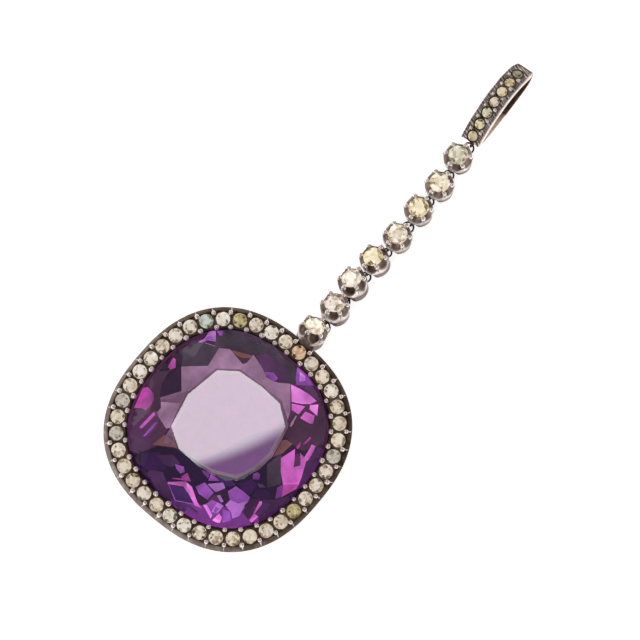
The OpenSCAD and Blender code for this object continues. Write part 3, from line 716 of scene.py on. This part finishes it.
    ("pink", (-10.2, 0.1), (-8.4, 1.8), (-8.2, 1.5), (-9.9, -0.1)),
    ("purple", (-9.7, -0.9), (-8.3, 0.6), (-7.9, 0.7), (-8.4, 0), (-9.5, -1)),
    ("magenta", (-10.8, 2.3), (-9.8, 4.6), (-9.2, 4.7), (-8.5, 3.9), (-8.5, 3.1), (-8.9, 2.3), (-9.4, 2),
     (-10, 2.3)),
    ("magenta", (-6.9, 7), (-6.3, 8.1), (-6, 7.9), (-6, 6.9), (-6.6, 6.7)),
]


def coneHeight(points, s):
    # Height of the inner cone over places x, y: level inside the table, then straight down to the girdle
    x, y = points[..., 0] - clusterMiddle[0], points[..., 1] - clusterMiddle[1]
    half = (np.abs(x) ** cushionPower + np.abs(y) ** cushionPower) ** (1 / cushionPower)
    return s["girdleHeight"] + s["rise"] * np.clip((s["edge"] - half) / (s["edge"] - s["flat"]), 0.02, 1)


def underPicture(corners, s):
    # points of the inner cone that the camera sees at these places: the sight lines are followed down to it
    spots = crownMiddle + corners[:, :1] * photoRight + corners[:, 1:] * photoUp
    sight = (cameraPlace - spots) / (cameraPlace - spots)[:, 2:]
    points = spots
    for _ in range(4):
        points = spots + sight * (coneHeight(points, s) - spots[:, 2])[:, None]
    return points


def cutWith(work, place, normal, **settings):
    whole = work.verts[:] + work.edges[:] + work.faces[:]
    return bmesh.ops.bisect_plane(work, geom=whole, dist=1e-5, plane_co=Vector(place),
                                  plane_no=Vector(normal), **settings)


def cornersAndFaces(work):
    work.verts.index_update()
    return [tuple(v.co) for v in work.verts], [[v.index for v in f.verts] for f in work.faces]


def backPlates(s):
    # The painted patches of light and shade, each a thin plate that stands a little higher than the one
    # before: cut into cells, and bent on to the cone. Returns corners, faces and the colour at each corner.
    rng = np.random.default_rng(s["seed"])
    work = bmesh.new()
    tint = work.verts.layers.float_color.new("tint")
    order = work.verts.layers.float.new("order")
    for number, (colour, *corners) in enumerate(paintedBackPatches):
        ring = underPicture(np.array(corners, float), s)
        uneven = s["calm"] if colour in ("veil", "haze") else s["uneven"]
        verts = []
        for point, glow in zip(ring, np.clip(rng.normal(1, uneven, len(ring)), 0.5, 1.4)):
            v = work.verts.new((point[0], point[1], 0))
            v[tint] = [c * glow for c in linear(paintedGemLight[colour])[:3]] + [1]
            v[order] = number
            verts.append(v)
        work.faces.new(verts)
    reach = s["edge"] + 1
    for normal in np.eye(3)[:2]:
        for step in np.arange(-reach, reach, s["cell"]):
            cutWith(work, clusterMiddle + normal * step, normal)
    heights = coneHeight(np.array([tuple(v.co) for v in work.verts]), s)
    for v, height in zip(work.verts, heights):
        v.co.z = height + s["step"] * v[order] - s["plate"]
    lifted = bmesh.ops.extrude_face_region(work, geom=work.faces[:], use_keep_orig=True)
    for v in lifted["geom"]:
        if isinstance(v, bmesh.types.BMVert):
            v.co.z += s["plate"]
    bmesh.ops.recalc_face_normals(work, faces=work.faces)
    result = (*cornersAndFaces(work), [list(v[tint]) for v in work.verts])
    work.free()
    return result


def clearHull(s):
    # The stone's hull, cut facet by facet from a block along the CAD's facets, and which facets are the
    # table. The girdle and the pavilion stand a little further out than the CAD's; the crown and the culet
    # stay.
    normals, distances, areas = cadFacets("amethyst")
    outward = s["widen"] - s["leftward"] * normals @ photoRight
    distances = distances + np.where((normals[:, 2] < 0.1) & (normals[:, 2] > -0.99), outward, 0)
    work = bmesh.new()
    bmesh.ops.create_cube(work, size=40, matrix=Matrix.Translation(Vector(clusterMiddle)))
    for normal, distance in zip(normals, distances):
        cut = cutWith(work, normal * distance, normal, clear_outer=True)
        edges = [e for e in cut["geom_cut"] if isinstance(e, bmesh.types.BMEdge) and e.is_boundary]
        if edges:
            bmesh.ops.holes_fill(work, edges=edges, sides=0)
    bmesh.ops.remove_doubles(work, verts=work.verts, dist=0.01)
    bmesh.ops.dissolve_degenerate(work, edges=work.edges, dist=0.005)
    bmesh.ops.recalc_face_normals(work, faces=work.faces)
    result = (*cornersAndFaces(work), [f.normal.z > 0.99 for f in work.faces])
    work.free()
    return result


def innerCone(s, rings=30, around=120):
    # the cone under the crown, closed below: its points and quads
    half = np.concatenate([np.linspace(0, 1, rings) * s["edge"], np.linspace(1, 0, 6) * (s["edge"] - 0.05)])
    cone = cushionPoints(half[None, :], turns(around)[:, None], 0.0)
    lowered = coneHeight(cone, s) - s["sunk"]
    cone[..., 2] = np.where(np.arange(len(half)) < rings, lowered, s["girdleHeight"] + s["under"])
    return cone.reshape(-1, 3), gridQuads((1, around, len(half)), True, False)


def makeAmethyst(s):
    points, faces, isTable = clearHull(s)
    print("amethyst:", len(faces), "facets")
    numbers = [2 if level else 0 for level in isTable]
    colours = [linear("#ffffff")] * len(points)
    cone, quads = innerCone(s)
    plates, plateFaces, plateColours = backPlates(s)
    faces += (quads + len(points)).tolist()
    faces += [[v + len(points) + len(cone) for v in f] for f in plateFaces]
    numbers += [1] * (len(faces) - len(numbers))
    # the cone behind the plates is painted ink: painted shade in the depth of the stone
    colours += [linear(paintedGemLight["ink"])] * len(cone) + plateColours
    mesh = bpy.data.meshes.new("amethyst_stone")
    mesh.from_pydata(np.concatenate([points, cone, plates]) * mm, [], faces)
    setAttribute(mesh, "tint", "FLOAT_COLOR", "POINT", colours)
    mesh.polygons.foreach_set("material_index", np.array(numbers, np.int32))
    cleanMesh(mesh, 1e-8, 0)
    mesh.shade_flat()
    materials = [amethystCrown, amethystPaintedBack, amethystTable]
    return finishPiece("amethyst_stone", mesh, materials, ["amethyst"])


def makePolishedAmethyst(name, **coat):
    # Natural amethyst, clear and polished by hand
    return newMaterial(name, Roughness=0.0, IOR=1.544, Transmission_Weight=1.0, **coat)[0]


def makeAmethystPaintedLight():
    # Painted light and shade that stand for what the back facets of the same stone send up, in violet,
    # magenta and almost black, unevened by noise and given again as a glow
    material, tree, shader = newMaterial("amethystPaintedBackLight", Roughness=0.35, Specular_IOR_Level=0.0,
                                         Emission_Strength=0.6)
    tint = addNode(tree, "Attribute", attribute_name="tint").outputs["Color"]
    place = addNode(tree, "TexCoord").outputs["Object"]
    cloud = addNode(tree, "TexNoise", {"Vector": place}, {"Scale": 700.0, "Detail": 5.0, "Roughness": 0.7})
    level = mapRange(tree, cloud.outputs["Fac"], (0.3, 0.7), (0.8, 1.2))
    colour = addNode(tree, "VectorMath", {0: tint, "Scale": level}, operation="SCALE").outputs[0]
    for socket in ("Base Color", "Emission Color"):
        tree.links.new(colour, shader.inputs[socket])
    return material


amethystCrown = makePolishedAmethyst("polishedAmethyst")
# The table is polished last and finest, and mirrors the softbox more strongly than the crown does
amethystTable = makePolishedAmethyst("polishedAmethystTable", Coat_Weight=1.0, Coat_Roughness=0.0,
                                     Coat_IOR=2.8)
amethystPaintedBack = makeAmethystPaintedLight()
makeAmethyst(amethyst)
print("amethyst made")

# A collet. Its foot is cut flat, cutFloor from its middle and cutHeight high, where the eyes stand, and
# between the claws it is scooped out, from the stone's edge down to scoopFoot on the wall. stoneGlow
# brightens its stone's colour and glow: painted light.
collet = dict(baseRadius=1.65, footRound=0.4, cutFloor=1.2, cutHeight=1.2, wallRadius=1.76,
              shoulderHeight=2.62, rimRadius=1.42, scoopRadius=1.3, scoopFoot=1.9, height=3.12, bore=0.75,
              seatRadius=1.21, claws=6, clawRadius=0.29, clawReach=1.46, clawSunk=0.08, stoneDiameter=2.42,
              stoneGlow=1.25, girdleHeight=2.98, seed=3)
# One for each collet, from the cluster up
colletTints = ["#fff8ea", "#f4ece6", "#f6f0e6", "#f4ebcc", "#fbf5ea", "#f4e9cc", "#f6eedc", "#dcdacb"]


def colletShell(number, s):
    # The wall, from the seat over the rim, down outside and under the foot, at 192 angles. Between the
    # claws a slope runs from the stone's edge down to an arch on the wall.
    t = np.linspace(0, 2 * np.pi, 192, endpoint=False)[:, None]
    flat = np.zeros_like(t)
    between = 0.5 + 0.5 * np.cos(s["claws"] * t)
    opened = smooth((between - 0.04) / 0.4)
    foot, cut, wall, bore = s["baseRadius"], s["cutHeight"], s["wallRadius"], s["bore"]
    arch = s["shoulderHeight"] - (s["shoulderHeight"] - s["scoopFoot"]) * between ** 0.7
    p = np.array([[1, 0.88, 0.74, 0.6, 0.46, 0.32, 0.2, 0.1, 0.0]])
    rim = s["rimRadius"] + (s["scoopRadius"] - s["rimRadius"]) * opened
    inner = np.array([(bore, 2.2), (1.0, 2.6), (s["seatRadius"], 2.88), (s["seatRadius"], 3.05)])
    scoopR = wall - 0.03 * opened - (wall - rim) * p ** (2.2 - 1.2 * opened)
    scoopZ = arch + p * (s["height"] - arch)
    side = np.array([0.1, 0.35, 0.7])
    sideR = wall - (wall - foot) * side ** 1.5 + flat
    sideZ = arch - (arch - cut) * side
    low = np.array([(foot + 0.02, cut + 0.02), (foot + 0.02, cut - 0.02), (foot, s["footRound"] + 0.05),
                    (foot - 0.1, 0.2), (foot - 0.25, 0.06), (foot - 0.42, 0.0), (bore + 0.03, 0.0),
                    (bore, 0.05)])
    r = np.concatenate([flat + inner[:, 0], scoopR, sideR, flat + low[:, 0]], 1)
    z = np.concatenate([flat + inner[:, 1], scoopZ, sideZ, flat + low[:, 1]], 1)
    scoopWear = 0.7 - (0.4 - 0.12 * np.sin(5 * t + number)) * opened * smooth(p / 0.3)
    wallWear = [0.85, 0.8, 0.75] + 0.08 * np.sin(2 * t + number)
    wearAndLight = np.concatenate([flat + [0.1, 0.1, 0.3, 0.6], scoopWear, wallWear,
                           flat + [0.5, 0.4, 0.45, 0.5, 0.5, 0.5, 0.4, 0.2]], 1)
    x, y = r * np.cos(t), r * np.sin(t)
    isCut = z < cut
    wearAndLight = np.where(isCut & (np.abs(y) > s["cutFloor"]), 0.1, wearAndLight)
    y = np.where(isCut, np.clip(y, -s["cutFloor"], s["cutFloor"]), y)
    return np.stack([x, y, z], -1), wearAndLight


def makeCollet(number, s):
    rng = np.random.default_rng(s["seed"] + number)
    axes, girdle = seatOf("collet_diamond_%d" % number, oldCut["crown"] * s["stoneDiameter"])
    base = girdle - axes[:, 2] * s["girdleHeight"]
    shell, wearAndLight = colletShell(number, s)
    sheets = [sheet((base + shell @ axes.T)[None], wearAndLight[None])]
    # claws: a bead on the stone's edge, and a ridge that tapers down over the shoulder
    a = (np.arange(s["claws"]) + 0.5) * 2 * np.pi / s["claws"] + rng.normal(0, 0.05, s["claws"])
    out = np.stack([np.cos(a), np.sin(a), np.zeros_like(a)], -1)
    side = np.stack([-np.sin(a), np.cos(a), np.zeros_like(a)], -1)
    up = np.array([0, 0, 1.0])
    size = s["clawRadius"] * rng.normal(1, 0.06, s["claws"])
    beads = out * s["clawReach"] + up * (s["height"] - s["clawSunk"])
    sheets.append(sheet(balls(base + beads @ axes.T, size, 14, 9), 1.2, wrapV=False))
    # (distance out, height, radius of the ridge)
    steps = np.array([(1.48, 3.04, 0.05), (1.58, 2.92, 0.17), (1.68, 2.74, 0.13), (1.72, 2.5, 0.09),
                      (1.73, 2.2, 0.06), (1.72, 1.9, 0.01)])
    path = out[:, None] * steps[:, :1] + up * steps[:, 1:2]
    ridges = taperedRidges(path, np.repeat(side[:, None], len(steps), 1), steps[:, 2])
    sheets.append(sheet(base + ridges @ axes.T, 0.5, wrapU=False))
    # the eyes, first the upper one
    places = np.array([(sign * eyes["sides"][index] * eyes["side"], sign * eyes["reach"], eyes["height"])
                       for sign, index in ((1, number), (-1, number - 1))])
    sheets += [sheet(base + wireEye(place) @ axes.T, 0.12) for place in places]
    makePiece("collet_setting_%d" % number, sheets, silver, ["collet_%d" % number])
    width = s["stoneDiameter"]
    makeStones("collet_stone_%d" % number, [(axes, girdle)], ["collet_diamond_%d" % number], 50 + number,
               width, oldCut["depth"] * width, [colletTints[number - 1]], s["stoneGlow"])
    return base + places @ axes.T


colletEyes = [makeCollet(number, collet) for number in range(1, len(colletTints) + 1)]
print("collets made")

# The bail lies on one edge of its band: place is its lower end's, turn is from the chain's line, and lean
# is its tilt to the left. The strip, the gold band and the band's opening each start and end somewhere
# along it.
bail = dict(length=11.52, depth=3.47, endHeight=1.3, width=2.6, thickness=0.55, band=0.45, bandWidth=2.5,
            stoneDiameter=1.22, stoneDepth=0.39, firstStone=0.83, stoneStep=1.525, place=(-0.72, 45.41),
            turn=2.9, lean=10.6, drawIn=0.2, drawFrom=0.84, stripStart=0.15, stripEnd=11.22, gap=0.04,
            bandStart=0.5, loopStart=1.05, loopEnd=11.07, openingHalf=0.06, openingDrop=0.3,
            eye=(0.17, 0.3, 0.42), cupRadius=0.68, cupDepth=0.3, rimRadius=0.78, ditchDepth=0.13,
            hatchDepth=0.045, grainSide=0.66, grainRadius=0.23, seed=8)
# One for each stone, from the lower end up
bailTints = ["#d8cdae", "#e6dcb8", "#e4e4cc", "#e2d4c4", "#e8dcb8", "#d6c8a2", "#a09480"]


def bailFrame(s):
    # axes as columns, and origin
    turn, lean = math.radians(s["turn"]), math.radians(s["lean"])
    axes = np.array(Matrix.Rotation(turn, 3, "Z") @ Matrix.Rotation(-lean, 3, "Y"))
    return axes, clusterMiddle + [*s["place"], s["bandWidth"] / 2 * math.sin(lean)]


def bailArch(y, s):
    # 0 at both ends of the bail and 1 at its highest, which lies nearer the upper end
    v = np.clip(y / s["length"], 0, 1) ** 1.2
    return 4 * v * (1 - v)


def bailFront(y, s):
    return s["endHeight"] + (s["depth"] - s["endHeight"]) * bailArch(y, s) ** 0.7


def bailBack(y, s):
    return s["endHeight"] * (1 - bailArch(y, s) ** 0.3)


def bailHalfWidth(y, width, s):
    # straight sides that draw in to a round top
    u = np.clip((y / s["length"] - s["drawFrom"]) / (1 - s["drawFrom"]), 0, 1)
    return width / 2 - s["drawIn"] * u ** 2


def makeBailStrip(s):
    # a section carried along the front of the arch, its top carved with a cup for each stone, a ditch along
    # each edge, and the graver's hatching between them
    rng = np.random.default_rng(s["seed"])
    axes, origin = bailFrame(s)
    run = np.linspace(0, np.pi, 220)
    y = s["stripStart"] + (s["stripEnd"] - s["stripStart"]) * (1 - np.cos(run)) / 2
    front = bailFront(y, s)
    slope = unit(np.stack([np.gradient(y), np.gradient(front)], -1))
    # (across, 0 on the top and 1 at the back)
    section = np.concatenate([
        np.stack([np.linspace(-1, 1, 41), np.zeros(41)], -1), [(1.0, 0.3), (1.0, 0.7), (0.97, 1.0)],
        np.stack([np.linspace(0.9, -0.9, 7), np.ones(7)], -1), [(-0.97, 1.0), (-1.0, 0.7), (-1.0, 0.3)]])
    across, back = section.T[:, None]
    x = across * bailHalfWidth(y, s["width"], s)[:, None]
    spots = s["firstStone"] + s["stoneStep"] * np.arange(len(bailTints))
    near = np.abs(y[:, None] - spots[None]).argmin(1)
    away = np.hypot(x, (y - spots[near])[:, None])
    edge = np.abs(across) * np.ones_like(x)
    inRim = smooth((s["rimRadius"] - away) / 0.08)
    cup = s["cupDepth"] * smooth((s["cupRadius"] - away) / 0.1)
    ditch = s["ditchDepth"] * smooth((0.9 - edge) / 0.14) * (1 - inRim)
    ditch += 0.03 * smooth((s["rimRadius"] - away) / 0.1)
    hatch = s["hatchDepth"] * np.sin(y[:, None] * 21 + x * 7 + 2 * np.sin(y[:, None] * 5 + x))
    hatch *= (1 - smooth((0.8 - away) / 0.1)) * smooth((0.97 - edge) / 0.1)
    carved = np.maximum(cup, ditch) + 0.09 * smooth((edge - 0.93) / 0.07) + hatch
    drop = np.where(back == 0, carved, back * s["thickness"])
    local = np.stack([x, y[:, None] + drop * slope[:, 1:], front[:, None] - drop * slope[:, :1]], -1)
    wearAndLight = 0.62 - 6 * hatch + 0.3 * smooth((edge - 0.88) / 0.1) - 0.35 * smooth((0.8 - away) / 0.1)
    wearAndLight = np.where(back == 0, wearAndLight, 0.95)
    # the ends close to the middle of the section
    first, last = (end.mean(1, keepdims=True) + 0 * end for end in (local[:1], local[-1:]))
    local = np.concatenate([first, local, last])
    wearAndLight = np.concatenate([wearAndLight[:1], wearAndLight, wearAndLight[-1:]])
    sheets = [sheet((origin + local @ axes.T)[None], wearAndLight[None], wrapU=False)]
    # grains at both sides between the stones
    between = np.repeat(spots[:-1] + s["stoneStep"] / 2, 2)
    between = between + rng.normal(0, 0.05, len(between))
    across = np.tile([-s["grainSide"], s["grainSide"]], len(spots) - 1) + rng.normal(0, 0.03, len(between))
    grains = np.stack([across, between, bailFront(between, s) - 0.02], -1)
    radii = s["grainRadius"] * rng.normal(1, 0.08, len(grains))
    sheets.append(sheet(balls(origin + grains @ axes.T, radii), 1.2, wrapV=False))
    makePiece("bail_strip", sheets, silver, ["bail_front"])


def makeBailBand(s):
    # the gold band between an outer and an inner curve (y, z), up the front and down the back of the arch,
    # with rounded edges
    axes, origin = bailFrame(s)
    ease = (1 - np.cos(np.pi * np.linspace(0, 1, 90))) / 2
    under = s["thickness"] + s["gap"]
    yOut = s["bandStart"] + (s["length"] - s["bandStart"]) * ease
    backOut = bailBack(yOut, s)
    frontOut = bailFront(yOut, s) - under * (1 - smooth((yOut - s["stripEnd"] - s["gap"]) / 0.1))
    frontOut = np.maximum(frontOut, backOut)
    yIn = s["loopStart"] + (s["loopEnd"] - s["loopStart"]) * ease
    middle = (bailFront(yIn, s) + bailBack(yIn, s)) / 2 - s["openingDrop"]
    frontIn = np.maximum(bailFront(yIn, s) - under - s["band"], middle + s["openingHalf"])
    backIn = np.minimum(bailBack(yIn, s) + s["band"], middle - s["openingHalf"])
    outer, inner = (np.concatenate([np.stack([y, front], -1), np.stack([y, back], -1)[::-1][1:-1]])
                    for y, front, back in ((yOut, frontOut, backOut), (yIn, frontIn, backIn)))
    # (across, 0 at the outer and 1 at the inner curve)
    edge = [(0.9, 0), (0.97, 0.04), (1.0, 0.14), (1.0, 0.5), (1.0, 0.86), (0.97, 0.96), (0.9, 1)]
    section = np.array([(-0.9, 0), (0, 0), *edge, (0, 1), (-0.9, 1), *[(-a, b) for a, b in edge[-2:0:-1]]])
    across, inwards = section[None, :, 0], section[None, :, 1:]
    yz = outer[:, None] * (1 - inwards) + inner[:, None] * inwards
    x = across * bailHalfWidth(yz[..., 0], s["bandWidth"], s)
    local = np.concatenate([x[..., None], yz], -1)
    # the inside of the upper half is painted darker: painted shade inside the loop's opening
    paintedShadeInside = smooth((yz[..., 0] / s["length"] - 0.46) / 0.03) * smooth((inwards[..., 0] - 0.5) / 0.2)
    eye = np.array(s["eye"])
    sheets = [sheet((origin + local @ axes.T)[None], (1.1 - 0.85 * paintedShadeInside)[None]),
              sheet(origin + wireEye(eye) @ axes.T, 0.0)]
    makePiece("bail_band", sheets, roseGold, ["bail_loop"])
    return origin + eye @ axes.T


makeBailStrip(bail)
bailEye = makeBailBand(bail)
for number, tint in enumerate(bailTints, 1):
    name = "bail_diamond_%d" % number
    seat = seatOf(name, oldCut["crown"] * bail["stoneDiameter"])
    makeStones("bail_stone_%d" % number, [seat], [name], 69 + number, bail["stoneDiameter"],
               bail["stoneDepth"], [tint])
print("bail made")


def makeLinks(lowerEyes, upperEyes):
    # each link passes through the eyes of its two neighbours
    for number, (a, b) in enumerate(zip(lowerEyes, upperEyes), 1):
        run = b - a
        axis = np.cross(np.cross(run, [0, 0, 1]), run)
        ring = wireRing((a + b) / 2, axis, np.linalg.norm(run) / 2, eyes["wire"])
        makePiece("small_link_%d" % number, [sheet(ring, 0.12)], silver, ["link_%d" % number])


makeLinks([mountEye] + [pair[0] for pair in colletEyes], [pair[1] for pair in colletEyes] + [bailEye])
print("links made")
